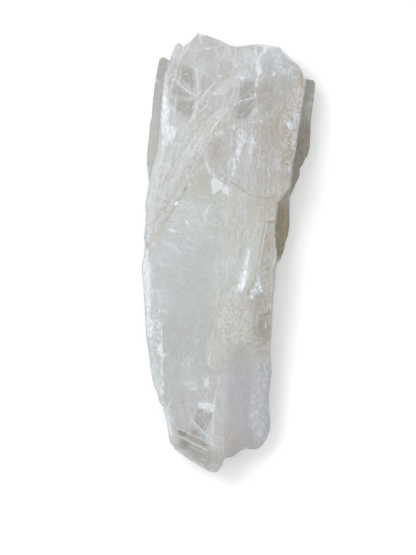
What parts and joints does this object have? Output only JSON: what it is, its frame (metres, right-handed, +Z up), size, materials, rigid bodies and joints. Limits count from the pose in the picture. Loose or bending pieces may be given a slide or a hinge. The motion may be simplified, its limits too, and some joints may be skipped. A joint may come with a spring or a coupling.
{
  "type": "selenite crystal blade",
  "caption": "Broad flat selenite crystal blade, part clear and part milky, made of parallel growth sheets, with broken ends and stepped ledges along its sides.",
  "frame": {"origin": "middle of the bounding box, on the flat face that the blade rests on", "axes": "+Y along the blade towards its broad broken end, +X across it, +Z up, out of the face with the ridge"},
  "size_m": [0.112, 0.2819, 0.038],
  "materials": {
    "selenite": "frosted and silky, milky with clearer patches and tan stains along the breaks"
  },
  "bodies": {
    "root": {"selenite_blade": "selenite"}
  },
  "joints": []
}
